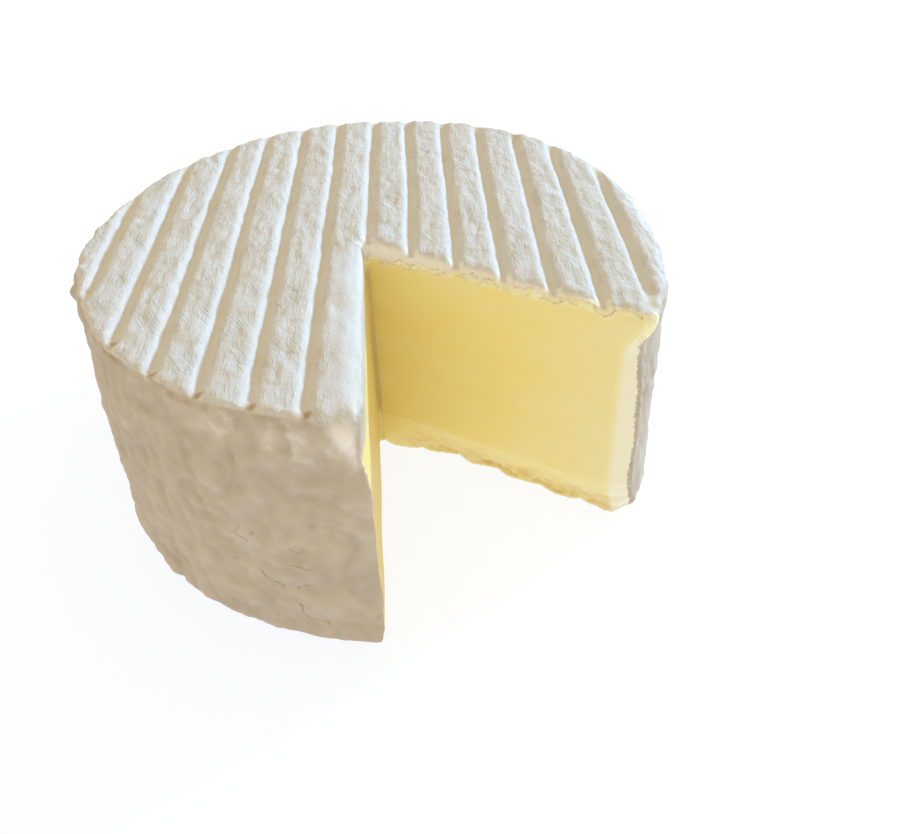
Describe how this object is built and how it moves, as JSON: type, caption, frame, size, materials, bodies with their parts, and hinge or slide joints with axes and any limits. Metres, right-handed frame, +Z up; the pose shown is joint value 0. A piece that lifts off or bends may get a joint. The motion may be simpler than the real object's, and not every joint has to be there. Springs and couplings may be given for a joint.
{
  "type": "soft cheese wheel",
  "caption": "Drum of soft ripened triple cream cheese with a pale grooved rind and one wedge cut out, showing its yellow paste; it rests on its flat base.",
  "frame": {"origin": "centre of the bounding box at the underside, where the wheel rests", "axes": "+Z up through the wheel, the grooves of the faces run along Y, and the notch opens towards -Y and +X"},
  "size_m": [0.1854, 0.1848, 0.0858],
  "materials": {
    "rind": "dry, powdery, matt"
  },
  "bodies": {
    "root": {"cheese_wheel": "rind"}
  },
  "joints": []
}
